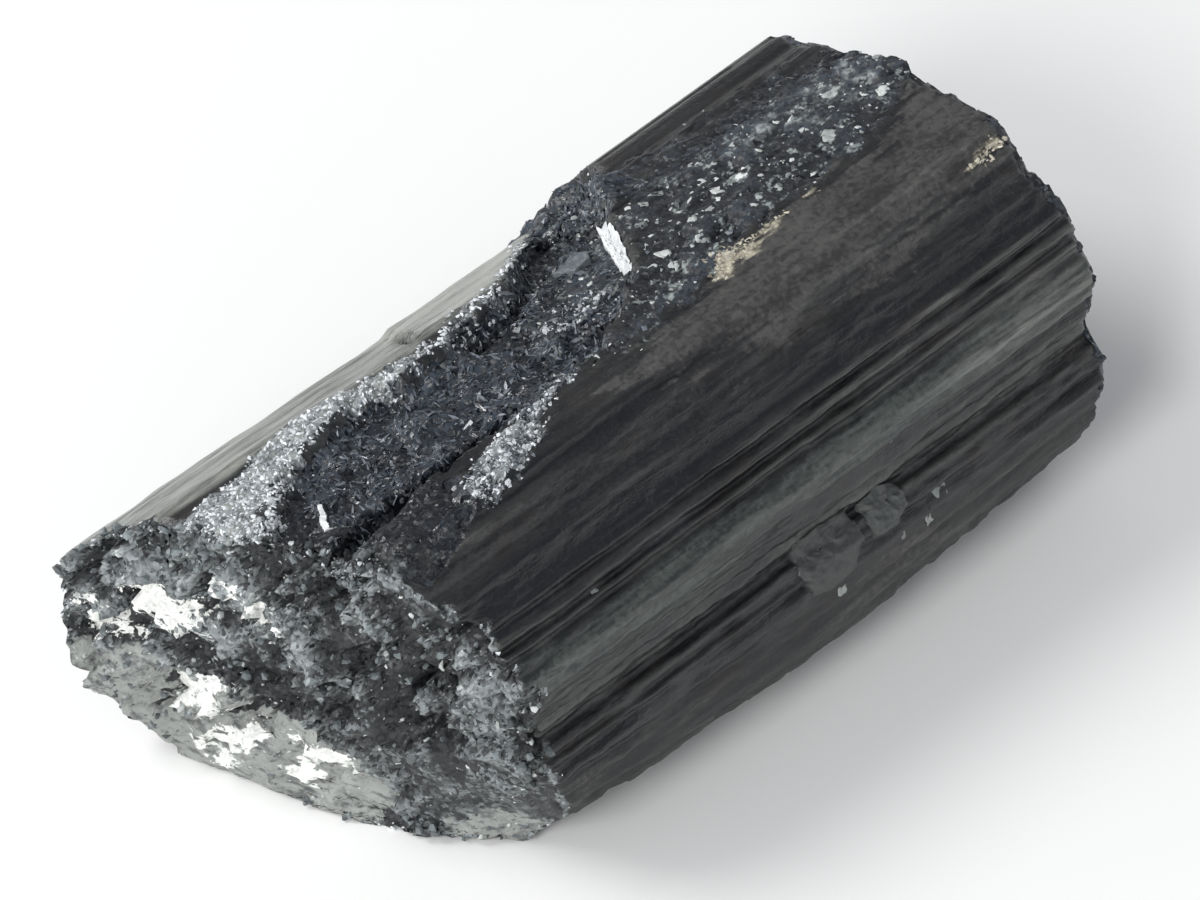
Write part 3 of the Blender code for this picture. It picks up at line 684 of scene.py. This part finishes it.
def tourmaline():
    """Black tourmaline. Grown faces are smooth, finely striated and near black; broken ones are
    sugary, each grain a small bright face at its own tilt; the slanted break is crumbly and grey."""
    stone = bpy.data.materials.new("black_tourmaline_grown_and_broken")
    stone.use_nodes = True
    tree = stone.node_tree
    shader = tree.nodes["Principled BSDF"]
    shader.inputs["IOR"].default_value = 1.64
    place = node(tree, "TexCoord", pick="Object")
    mask = {name: node(tree, "Attribute", pick="Fac", attribute_name=name) for name in masks}

    # Striae and colour bands that sway a little, patches, lumps and grit, and broken grains
    swaying = cloud(tree, place, 3.0, 2.0, 0.5, along=5.0).node.outputs["Color"]
    sway = node(tree, "VectorMath", swaying, (0.0, 1.2 * MM, 1.2 * MM), place, operation="MULTIPLY_ADD")
    striae = cloud(tree, sway, 0.28, 4.0, 0.7, along=14.0)
    bands = cloud(tree, sway, 1.1, 5.0, 0.66, along=8.0)
    blotch = cloud(tree, place, 2.4, 5.0, 0.62, along=1.6)
    lumps = cloud(tree, place, 1.1)
    grit = cloud(tree, place, 0.38, 3.0)
    streaks = cloud(tree, place, 0.55, across=4.0)
    warp = cloud(tree, place, 0.7, 2.0, 0.5).node.outputs["Color"]
    warped = node(tree, "VectorMath", warp, (0.5 * MM,) * 3, place, operation="MULTIPLY_ADD")
    cells = node(tree, "TexVoronoi", warped, GRAINS_PER_MM / MM, pick="Color")
    tone, polish, chalk = node(tree, "SeparateColor", cells).node.outputs

    # Where each mark begins and ends: its mask, frayed by a pattern
    broken = patchy(tree, 0.775, 1.075, mask["broken"], (lumps, 0.85))
    rubble = patchy(tree, 0.945, 1.195, mask["rubble"], (lumps, 1.19))
    pale = patchy(tree, 1.27, 1.45, mask["pale"], (lumps, 1.7))
    white = patchy(tree, 1.32, 1.40, mask["white"], (streaks, 1.6))
    earthy = patchy(tree, 2.00, 2.50, mask["matte"], (bands, 2.6), (grit, 0.8))
    creamy = patchy(tree, 1.65, 1.90, mask["cream"], (bands, 2.2))
    flecked = patchy(tree, 0.86, 0.93, lumps, (grit, 0.55))
    flecked = node(tree, "Math", mask["specks"], flecked, operation="MULTIPLY")
    band_shade_share = node(tree, "Math", mask["green_sheen_and_shade"], -1.0, operation="MULTIPLY")
    thick = node(tree, "Math", mask["dust_and_sheen"], 1.0, operation="MAXIMUM")
    glinting = node(tree, "Math", tone, mask["rise"], operation="MULTIPLY")

    # Colour: blue-black to brown-black where it grew, then each mark over the ones before it
    colour = two_tone(tree, "#08090e", "#242524", 0.575, 0.795, bands, (grit, 0.35))
    colour = two_tone(tree, colour, "#1c1a18", 0.52, 0.70, blotch)
    for share, mark in (
            # the greenish band, its lightness painted reflection
            (mask["green_sheen_and_shade"], two_tone(tree, "#1b2020", "#444b47", 0.63, 0.89, bands, (grit, 0.5))),
            # bands painted near black as shade
            (band_shade_share, "#05060b"),
            (earthy, two_tone(tree, "#222121", "#454442", 0.72, 0.98, 0.0,
                              (blotch, 0.5), (grit, 0.6), (bands, 0.6))),
            # dust with painted sheen on the bevel, and painted highlights on crests and the lit patch
            (mask["dust_and_sheen"], two_tone(tree, "#40423f", "#9c9e97", 1.55, 2.10, thick,
                                    (striae, 1.0), (bands, 0.6))),
            # broken grains painted lighter where they stand up, as glints, and darker in the deep, as
            # shade
            (broken, two_tone(tree, "#0c1118", "#414a54", 0.15, 0.75, glinting)),
            (flecked, "#8a9290"),
            (creamy, two_tone(tree, "#3c372c", "#c0b9a4", 0.50, 0.74, 0.0, (lumps, 0.8), (grit, 0.4))),
            # rubble painted lighter on crests and darker in cracks, as light and shade
            (rubble, two_tone(tree, "#0c1013", "#8f9596", 0.80, 1.50, 0.0, (mask["rise"], 0.7),
                              (chalk, 0.45), (lumps, 0.7), (mask["pale"], 0.35))),
            # pale faces and white patches painted as glare, and the glittering rim's painted sparkle
            (pale, two_tone(tree, "#5a5d5c", "#8f928e", 0.34, 0.52, streaks)),
            (white, two_tone(tree, "#d3d5d0", "#f0f0ec", 0.35, 0.60, grit))):
        colour = node(tree, "Mix", share, colour, mark, data_type="RGBA")
    tree.links.new(colour, shader.inputs["Base Color"])

    # Roughness: 0.3 where it grew, 0.5 where matt, anything from 0.15 to 0.6 on a broken grain
    smooth = weigh(tree, 0.24, (blotch, 0.20))
    grainy = weigh(tree, 0.14, (polish, 0.45), (rubble, 0.20))
    gloss = weigh(tree, node(tree, "Mix", broken, smooth, grainy), (mask["dull"], 0.28))
    tree.links.new(gloss, shader.inputs["Roughness"])

    # Relief: striae and pits, and on broken parts each cell of grain turned its own way
    unbroken = weigh(tree, 1.0, (broken, -1.0))
    height = weigh(tree, 0.0, (weigh(tree, striae, (bands, 1.1)), unbroken), (grit, 1.3))
    bump = node(tree, "Bump", 0.9, 0.07 * MM, None, height)
    tilt = weigh(tree, 1.1, (rubble, -0.45), (white, -0.4))
    tilt = node(tree, "Math", broken, tilt, operation="MULTIPLY")
    lean = node(tree, "VectorMath", cells, (0.5, 0.5, 0.5), operation="SUBTRACT")
    leaned = node(tree, "VectorMath", lean, tilt, bump, operation="MULTIPLY_ADD")
    tree.links.new(node(tree, "VectorMath", leaned, operation="NORMALIZE"), shader.inputs["Normal"])
    return stone


crystal = new_piece("tourmaline", points, faces, tourmaline())
for name, values in masks.items():
    paint(crystal, name, values)
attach(crystal, "root")
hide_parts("crystal")

# ---------------------------------------------------------------------------------------------
# Sugary grains: crumbs and splinters of the same black tourmaline that still hang on its broken
# faces. They are bedded in the stone, and their small flat faces give the sparkle.
# ---------------------------------------------------------------------------------------------
GOLDEN = (1 + 5 ** 0.5) / 2
# Each solid: its corners, about a millimetre from the middle, and its triangles
CRUMB = (  # an icosahedron
    np.array([(-1, GOLDEN, 0), (1, GOLDEN, 0), (-1, -GOLDEN, 0), (1, -GOLDEN, 0),
              (0, -1, GOLDEN), (0, 1, GOLDEN), (0, -1, -GOLDEN), (0, 1, -GOLDEN),
              (GOLDEN, 0, -1), (GOLDEN, 0, 1), (-GOLDEN, 0, -1), (-GOLDEN, 0, 1)]) / 1.9,
    np.array([(0, 11, 5), (0, 5, 1), (0, 1, 7), (0, 7, 10), (0, 10, 11), (1, 5, 9), (5, 11, 4),
              (11, 10, 2), (10, 7, 6), (7, 1, 8), (3, 9, 4), (3, 4, 2), (3, 2, 6), (3, 6, 8),
              (3, 8, 9), (4, 9, 5), (2, 4, 11), (6, 2, 10), (8, 6, 7), (9, 8, 1)]))
SPLINTER = (  # a three-sided prism with pointed ends
    np.array([(-1, 0, 0), (-0.45, 0.5, 0.1), (-0.5, -0.3, 0.45), (-0.5, -0.35, -0.4),
              (0.5, 0.4, 0.1), (0.45, -0.35, 0.4), (0.55, -0.3, -0.4), (1, 0.05, 0)]),
    np.array([(0, 2, 1), (0, 3, 2), (0, 1, 3), (1, 2, 5), (1, 5, 4), (2, 3, 6), (2, 6, 5),
              (3, 1, 4), (3, 4, 6), (7, 4, 5), (7, 5, 6), (7, 6, 4)]))


def scatter(weight, count, rng):
    """Random places on the crystal's skin, likelier where faces are large and the weight is high:
    each place and the way outward there, in mm."""
    corner = points[faces]
    across = np.cross(corner[:, 2] - corner[:, 0], corner[:, 3] - corner[:, 1])
    area = np.linalg.norm(across, axis=1) + 1e-12
    odds = area * weight[faces].mean(1)
    chosen = rng.choice(len(faces), count, p=odds / odds.sum())
    u, v = rng.random((2, count, 1))
    corner = corner[chosen]
    lower = corner[:, 0] * (1 - u) + corner[:, 1] * u
    upper = corner[:, 3] * (1 - u) + corner[:, 2] * u
    return lower * (1 - v) + upper * v, across[chosen] / area[chosen, None]


def grains(name, solid, weight, count, sizes, stretch, sink, material, rng, tumble=0.6):
    """One piece made of many small solids. Each is the solid with its corners pushed about, scaled
    and stretched, laid on the skin any way round, tumbled off flat by a random amount and sunk by a
    share of its size; none passes under the floor. Sizes in mm are the least, the spread and the
    power of its random number. Each keeps one random number, its tone."""
    place, out = scatter(weight, count, rng)
    size = sizes[0] + sizes[1] * rng.random(count) ** sizes[2]
    shape, shape_faces = solid
    body = shape[None] * (1 + 0.22 * rng.normal(size=(count, len(shape), 1)).clip(-1.5, 1.5))
    body = body * size[:, None, None] * np.array(stretch)
    up = out + tumble * rng.normal(size=(count, 3))
    up /= np.linalg.norm(up, axis=1)[:, None]
    side_way = np.cross(up, rng.normal(size=(count, 3)))
    side_way /= np.linalg.norm(side_way, axis=1)[:, None]
    spin = np.stack([side_way, np.cross(up, side_way), up], axis=-1)
    body = np.einsum("nij,ncj->nci", spin, body) + (place - out * (sink * size)[:, None])[:, None]
    body[..., 2] = np.maximum(body[..., 2], 0.0)
    triangles = (shape_faces[None] + np.arange(count)[:, None, None] * len(shape)).reshape(-1, 3)
    piece = new_piece(name, body.reshape(-1, 3), triangles, material, smooth=False)
    paint(piece, "tone", np.repeat(rng.random(count), len(shape)))
    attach(piece, "root")
    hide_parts("crystal")


def grain_stone(name, dark, light, gloss, ior=1.64):
    """Stone of one grain: its tone picks a colour between two and a roughness between two."""
    stone = bpy.data.materials.new(name)
    stone.use_nodes = True
    tree = stone.node_tree
    shader = tree.nodes["Principled BSDF"]
    shader.inputs["IOR"].default_value = ior
    tone = node(tree, "Attribute", pick="Fac", attribute_name="tone")
    grit = cloud(tree, node(tree, "TexCoord", pick="Object"), 0.25, 3.0)
    share = weigh(tree, 0.0, (tone, 0.8), (grit, 0.3))
    colour = node(tree, "Mix", share, dark, light, data_type="RGBA")
    tree.links.new(colour, shader.inputs["Base Color"])
    shuffled = node(tree, "Math", weigh(tree, 0.0, (tone, 7.0)), operation="FRACT")
    tree.links.new(weigh(tree, gloss[0], (shuffled, gloss[1] - gloss[0])), shader.inputs["Roughness"])
    tree.links.new(node(tree, "Bump", 0.4, 0.03 * MM, None, grit), shader.inputs["Normal"])
    return stone


def on_skin(at_run, at_girth):
    """Points of the crystal's skin at run and girth positions, and the way outward there: read off
    the grid by blending its four nearest points."""
    col = np.interp(at_girth % GIRTH, np.append(column, GIRTH), np.arange(COLUMNS + 1))
    left = col.astype(int)
    across = (col - left)[..., None]
    left, beyond = left % COLUMNS, (left + 1) % COLUMNS
    along = (at_run - near_x[0, left]) / (far_x[0, left] - near_x[0, left])
    row = np.interp(along, station, np.arange(STATIONS))
    below = np.minimum(row.astype(int), STATIONS - 2)
    up = (row - below)[..., None]
    skin, away = (
        (values[below, left] * (1 - across) + values[below, beyond] * across) * (1 - up)
        + (values[below + 1, left] * (1 - across) + values[below + 1, beyond] * across) * up
        for values in (side, np.insert(outward, 0, 0.0, axis=-1)))
    return skin, away / np.linalg.norm(away, axis=-1)[..., None]


def chips(name, outlines, proud, rough, material, rings=14, round_points=64, follow=0.15):
    """One piece made of thin slabs on the skin, each filling a (run, girth) outline: rings shrink
    from the outline to its middle, the outer two sink into the stone and make its sharp edge, and
    the rest stand proud with pits of their own, on the skin's own shape or, where follow is less
    than 1, drawn that much flatter."""
    verts, quads, smooth, tones = [], [], [], []
    ring = np.arange(rings * round_points).reshape(rings, round_points)
    ahead = np.roll(ring, -1, 1)
    walls = np.stack([ring[:-1], ahead[:-1], ahead[1:], ring[1:]], -1).reshape(-1, 4)
    half, last = round_points // 2, ring[-1]
    lid = np.stack([last[:half - 1], last[1:half], last[::-1][1:half], last[::-1][:half - 1]], -1)
    chip_quads = np.vstack([walls, lid])
    share = np.concatenate([[1.04, 1.0], np.linspace(0.97, 0.04, rings - 2)])[:, None, None]
    lift = np.full((rings, 1), proud)
    lift[:2, 0] = -0.35, -0.02
    for number, outline in enumerate(outlines):
        outline = np.array(outline, float)
        turned = np.roll(outline, -1, 0)
        if (outline[:, 0] * turned[:, 1] - outline[:, 1] * turned[:, 0]).sum() > 0:
            outline = outline[::-1]
        loop = np.vstack([outline, outline[:1]])
        along = np.concatenate([[0.0], np.cumsum(np.hypot(*np.diff(loop, axis=0).T))])
        at = np.arange(round_points) / round_points * along[-1]
        rim = np.stack([np.interp(at, along, loop[:, k]) for k in (0, 1)], -1)
        rim += 0.10 * grain.at(stack(rim[:, 0] * 1.7, rim[:, 1] * 1.7, 3.0))[:, None]
        flat = outline.mean(0) + (rim - outline.mean(0)) * share
        skin, away = on_skin(flat[..., 0], flat[..., 1])
        pits = rough * grain.rough(stack(flat[..., 0] / 0.8, flat[..., 1] / 0.8, number), 3)
        pits = pits * (share[..., 0] < 0.99)
        middle = skin.mean((0, 1))
        inner = (skin[2:] - middle).reshape(-1, 3)
        flat_way = np.linalg.svd(inner, full_matrices=False)[2][2]
        off = ((skin - middle) * flat_way).sum(-1)[..., None] * flat_way
        top = skin - (1 - follow) * off + away.mean((0, 1)) * (lift + pits)[..., None]
        verts.append(top.reshape(-1, 3))
        quads.append(chip_quads + number * ring.size)
        smooth.append(np.arange(len(chip_quads)) >= 2 * round_points)
        tones.append(np.full(ring.size, 0.3 + 0.5 * (number % 2)))
    piece = new_piece(name, np.vstack(verts), np.vstack(quads), material, np.concatenate(smooth))
    paint(piece, "tone", np.concatenate(tones))
    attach(piece, "root")
    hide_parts("crystal")


# The same tourmaline five ways: dark sugary grains, crumbs painted near white as glints, crumbs greyed
# by dust, matt plates as they grew, and a facet painted pale and soft as if lit
sugar = grain_stone("black_tourmaline_sugary_grains", "#14181f", "#6d737b", (0.10, 0.40))
glint_crumb_stone = grain_stone("black_tourmaline_painted_glint_crumbs", "#30363b", "#e8ecef", (0.10, 0.35))
grey_crumb = grain_stone("tourmaline_crumbs_with_dust", "#15191b", "#747c7e", (0.3, 0.65))
matt_plate = grain_stone("black_tourmaline_matt_plates", "#262828", "#474a49", (0.50, 0.75))
lit_facet_paint = grain_stone("black_tourmaline_painted_lit_facets", "#484d52", "#80868b", (0.35, 0.55))

chips("front_plates", PLATES, 0.16, 0.16, matt_plate, 24, 120, follow=1.0)
# A flat face by the hollow's far step, painted pale grey as if lit
chips("painted_lit_facet", (LIT_PATCH,), 0.25, 0.12, lit_facet_paint, follow=0.3)

# Splinters on the hollow's floor, crumbs on its rim painted near white as glints, then crumbs on the
# two breaks
rng = np.random.default_rng(41)
bare = (1 - glint_zone) * (1 - 0.9 * shade) * (1 - 0.95 * slope) * (1 - trench) * (0.15 + clumps)
splintered = np.clip(hollow * (1 - near_rim) + patch, 0, 1) * (1 - 0.9 * glassy)
grains("hollow_splinters", SPLINTER, whole(splintered * bare), 3200, (0.14, 0.50, 1.6),
       (1.0, 0.42, 0.36), 0.12, sugar, rng, 0.3)

SPARK = ((0.2, 9.4), (2.4, 8.2), (4.2, 8.4), (4.4, 9.6), (2.3, 11.0), (0.4, 11.0))
spark = zone(SPARK, -0.4, 0.4, jag)
sparkling = 1.2 * glitter * (1 - 0.7 * shade) + patch + 0.10 * near_rim + 0.5 * spark
sparkling = np.clip(sparkling, 0, 1.2) * (1 - glint_zone)
grains("rim_crumbs", CRUMB, whole(sparkling), 3600, (0.06, 0.22, 2),
       (1.1, 0.8, 0.5), 0.3, glint_crumb_stone, rng)

crumbly_rim = (0.7 - 0.5 * smoothstep(16.0, 20.0, wide_girth)) * near_rim
crumbly = whole(crumbly_rim, 1.0) * (1 - 0.75 * break_mask(PALE_FACE)) * (1 - white_glare)
crumbly = crumbly * np.clip(whole(0.5, near_rise) * 1.6, 0.1, 1.2)
grains("slanted_break_crumbs", CRUMB, crumbly, 2400, (0.12, 0.34, 2.5),
       (1.0, 0.85, 0.7), 0.6, grey_crumb, rng)

far_middle = smoothstep(0.4, 1.6, depth_inside(far_cap[..., 1], far_cap[..., 2], GIRTH_CORNERS))
far_sides = 0.10 * far_top * (1 - hollow) + 0.03 * far_rim + 0.6 * ledge
far_sides = far_sides * ((1 - glint_zone) * (1 - shade) * (1 - slope))
grains("square_break_crumbs", CRUMB, whole(far_sides, 0.0, far_middle), 3800, (0.10, 0.26, 2),
       (1.0, 0.75, 0.6), 0.35, sugar, rng)

# ---------------------------------------------------------------------------------------------
# Pale flecks: quartz or feldspar grown on and into the stone, thickest on the far top and in the
# slanted break. Hard chips of a cloudy mineral, from a tenth of a millimetre to one across.
# ---------------------------------------------------------------------------------------------
rng = np.random.default_rng(42)
FLECKS = (  # the largest ones on top, as (run, girth, width) in mm
    (12.6, 6.6, 0.9), (14.8, 8.3, 0.6), (15.8, 6.4, 0.5), (14.5, 9.9, 1.0), (12.9, 11.1, 0.6),
    (16.0, 10.6, 0.9), (16.7, 12.9, 0.7), (14.5, 13.2, 0.5), (11.2, 7.0, 0.7), (10.5, 6.3, 0.5),
    (9.4, 6.6, 0.6), (20.8, 2.2, 0.4), (19.1, 2.3, 0.4), (8.1, 11.8, 1.0), (7.8, 13.1, 0.9),
    (10.2, 12.8, 0.5), (22.1, 12.1, 1.2), (23.2, 12.3, 0.7), (25.6, 8.9, 1.1), (27.2, 11.6, 0.9),
    (27.0, 9.8, 0.6), (26.5, 10.8, 0.7), (25.7, 7.7, 0.7), (6.9, 12.2, 0.7))
FRONT_FLECKS = (  # and those on the front
    (15.2, 39.1, 1.3), (14.0, 40.5, 0.8), (11.8, 40.2, 0.7), (6.5, 41.0, 0.8), (-11.7, 28.0, 0.8),
    (11.5, 31.6, 0.5))
FLECK_CORNERS = 9
turn = np.arange(FLECK_CORNERS) / FLECK_CORNERS * 2 * np.pi


def fleck_outlines(flecks, rng):
    """A ragged (run, girth) ring round each fleck: every corner at its own random distance."""
    return [np.stack([middle + 0.5 * wide * rng.uniform(0.55, 1.25, FLECK_CORNERS) * way(turn)
                      for middle, way in ((at_run, np.cos), (at_girth, np.sin))], -1)
            for at_run, at_girth, wide in flecks]


top_outlines, front_outlines = fleck_outlines(FLECKS, rng), fleck_outlines(FRONT_FLECKS, rng)

# Cloudy quartz shows pale with a soft shine, weathered quartz duller, and glints are painted almost
# white
quartz = grain_stone("cloudy_quartz_chips", "#6d7472", "#d2d6d3", (0.25, 0.55), 1.55)
dull_quartz = grain_stone("weathered_quartz_chips", "#5c6260", "#969b98", (0.5, 0.75), 1.55)
glint_white_stone = grain_stone("painted_glint_faces", "#d4d7d8", "#f4f5f5", (0.20, 0.35), 1.55)
# A long grain in the hollow and a thin face on its far step, both painted near white as glints
LONG_GLINT = ((-20.4, 11.4), (-20.2, 11.6), (-20.9, 12.5), (-21.3, 13.4), (-21.6, 13.2), (-21.2, 12.3))
chips("far_top_chips", top_outlines, 0.02, 0.10, quartz, 6, 36, 0.6)
chips("front_chips", front_outlines, 0.02, 0.10, dull_quartz, 6, 36, 0.6)
chips("painted_glint_facets", (GLINT, LONG_GLINT), 0.22, 0.08, glint_white_stone, follow=0.6)

grains("far_top_flecks", CRUMB, whole(specks, 0.0, 0.05), 420, (0.08, 0.30, 3),
       (1.1, 0.8, 0.4), 0.3, quartz, rng, 0.2)
# Pale chips along the edges of the white glare, partly pale grains and partly painted glints
glare_edges = np.clip(1.2 * white_glare * (1 - white_glare) + 0.06, 0, 1)
grains("slanted_break_flecks", CRUMB, whole(0.3 * near_rim, 1.0, 0.05) * glare_edges, 700,
       (0.08, 0.26, 2), (1.0, 0.8, 0.5), 0.35, quartz, rng)

# ---------------------------------------------------------------------------------------------
# Cream crust: patches of dried clay left on the far half's top, crumbs packed in the striae. A dull
# earth that came with the stone out of the ground.
# ---------------------------------------------------------------------------------------------
# Dried clay is pale cream and has no shine
clay = grain_stone("dried_cream_clay", "#6e6757", "#d5cfbe", (0.7, 0.95), 1.5)
rng = np.random.default_rng(43)
streak = smoothstep(-0.15, 0.35, grain.rough(stack(run / 4.0, wide_girth / 0.45, 8.0), 3))
caked = smoothstep(0.45, 0.8, crust) * (0.05 + streak)
grains("cream_crust", CRUMB, whole(caked), 300, (0.05, 0.14, 2),
       (1.8, 0.9, 0.4), 0.3, clay, rng, 0.2)

# ---------------------------------------------------------------------------------------------
# The studio: a floor of matt white paper, a pale room, two soft lamps, and the camera.
# ---------------------------------------------------------------------------------------------
scene = bpy.context.scene
scene.view_settings.view_transform = "Standard"
bpy.ops.mesh.primitive_plane_add(size=4.0, location=(0, 0, 0))
floor = bpy.context.object
floor.name = "floor"
paper = bpy.data.materials.new("matt_white_paper")
paper.use_nodes = True
paper.node_tree.nodes["Principled BSDF"].inputs["Base Color"].default_value = linear("#f2f2f0")
paper.node_tree.nodes["Principled BSDF"].inputs["Roughness"].default_value = 0.9
floor.data.materials.append(paper)

# The room is pale all round and darker overhead, a little to the camera's right, which is what a
# black stone mirrors; a small black card low behind the crystal keeps its far top dark
DARK_WAY, FLAG_WAY = (0.25, -0.25, 0.935), (0.50, 0.83, 0.23)
FLAG_FROM, FLAG_WHOLE, FLAG_STRENGTH = 0.84, 0.96, 0.85  # the first two are cosines of angles
# How far towards the dark way, and the room's linear colour there
ROOM = ((0.10, (1.12, 1.13, 1.16)), (0.40, (0.86, 0.88, 0.91)), (0.66, (0.50, 0.51, 0.54)),
        (0.88, (0.22, 0.23, 0.25)))
world = bpy.data.worlds.new("pale_room")
world.use_nodes = True
sky = world.node_tree
way = node(sky, "TexCoord", pick="Generated")
ramp = node(sky, "ValToRGB", node(sky, "VectorMath", way, DARK_WAY, operation="DOT_PRODUCT"))
stops = ramp.node.color_ramp.elements
stops[0].position, stops[1].position = ROOM[0][0], ROOM[-1][0]
for position, _ in ROOM[1:-1]:
    stops.new(position)
for stop, (_, colour) in zip(stops, ROOM):
    stop.color = (*colour, 1.0)
flag = node(sky, "VectorMath", way, FLAG_WAY, operation="DOT_PRODUCT")
flag = node(sky, "MapRange", flag, FLAG_FROM, FLAG_WHOLE, 0.0, FLAG_STRENGTH,
            interpolation_type="SMOOTHSTEP")
room = node(sky, "Mix", flag, ramp, "#101114", data_type="RGBA")
sky.links.new(room, sky.nodes["Background"].inputs["Color"])
scene.world = world


def soft_lamp(name, place, size, power):
    """A round lamp with a soft edge to its shadow, turned to the object."""
    lamp = bpy.data.lights.new(name, "AREA")
    lamp.shape, lamp.size, lamp.energy = "DISK", size, power
    held = bpy.data.objects.new(name, lamp)
    held.location = place
    held.rotation_euler = Vector(place).to_track_quat("Z", "Y").to_euler()
    scene.collection.objects.link(held)


soft_lamp("lamp_behind_left", (-0.42, 0.42, 0.70), 0.40, 4.0)
soft_lamp("lamp_front_left", (-0.75, -0.25, 0.62), 0.40, 5.0)

AZIMUTH, ELEVATION, DISTANCE, LENS = np.radians(-45.5), np.radians(45.5), 0.900, 456.0
aim = Vector((-0.0010, -0.0024, 0.0167))
camera_way = Vector((np.sin(AZIMUTH) * np.cos(ELEVATION), -np.cos(AZIMUTH) * np.cos(ELEVATION),
                     np.sin(ELEVATION)))
camera_data = bpy.data.cameras.new("camera")
camera_data.lens = LENS
camera_data.clip_start, camera_data.clip_end = 0.01, 10.0
camera = bpy.data.objects.new("camera", camera_data)
camera.location = aim + camera_way * DISTANCE
camera.rotation_euler = camera_way.to_track_quat("Z", "Y").to_euler()
scene.collection.objects.link(camera)
scene.camera = camera
